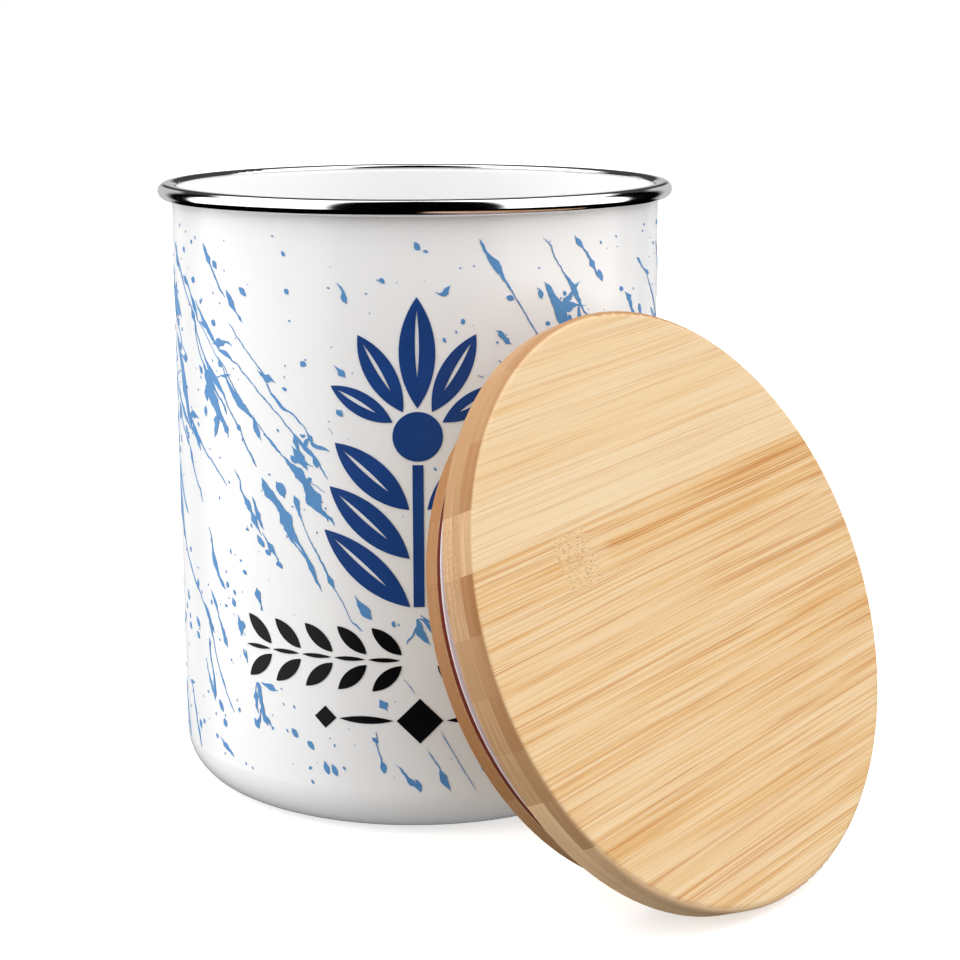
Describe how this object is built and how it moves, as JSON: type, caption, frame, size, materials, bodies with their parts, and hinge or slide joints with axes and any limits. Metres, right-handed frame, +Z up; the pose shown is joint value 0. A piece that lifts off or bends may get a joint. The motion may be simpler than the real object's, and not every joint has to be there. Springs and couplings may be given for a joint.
{
  "type": "storage tin with plug lid",
  "caption": "Round enamelled steel storage tin with a rolled steel rim and a printed wall, its bamboo plug lid with silicone seal leaning against it.",
  "frame": {"origin": "on the tin's axis, on the surface that it stands on", "axes": "+Z up along the tin's axis, -Y towards the printed front, +X to the side where the lid leans"},
  "size_m": [0.1504, 0.176, 0.131],
  "materials": {
    "enamel": "glossy white vitreous enamel on steel",
    "rim_steel": "mirror-polished stainless steel",
    "bamboo": "laminated bamboo strips, fine sanded and oiled",
    "silicone": "translucent white silicone",
    "blue_ink": "light blue print fired into the enamel",
    "navy_ink": "navy print fired into the enamel",
    "black_ink": "black print fired into the enamel"
  },
  "bodies": {
    "root": {"tin_body": "enamel", "rim_band": "rim_steel", "lid_board": "bamboo", "lid_seal": "silicone", "print_splashes": "blue_ink", "print_sprig": "navy_ink", "print_border": "black_ink"}
  },
  "joints": []
}
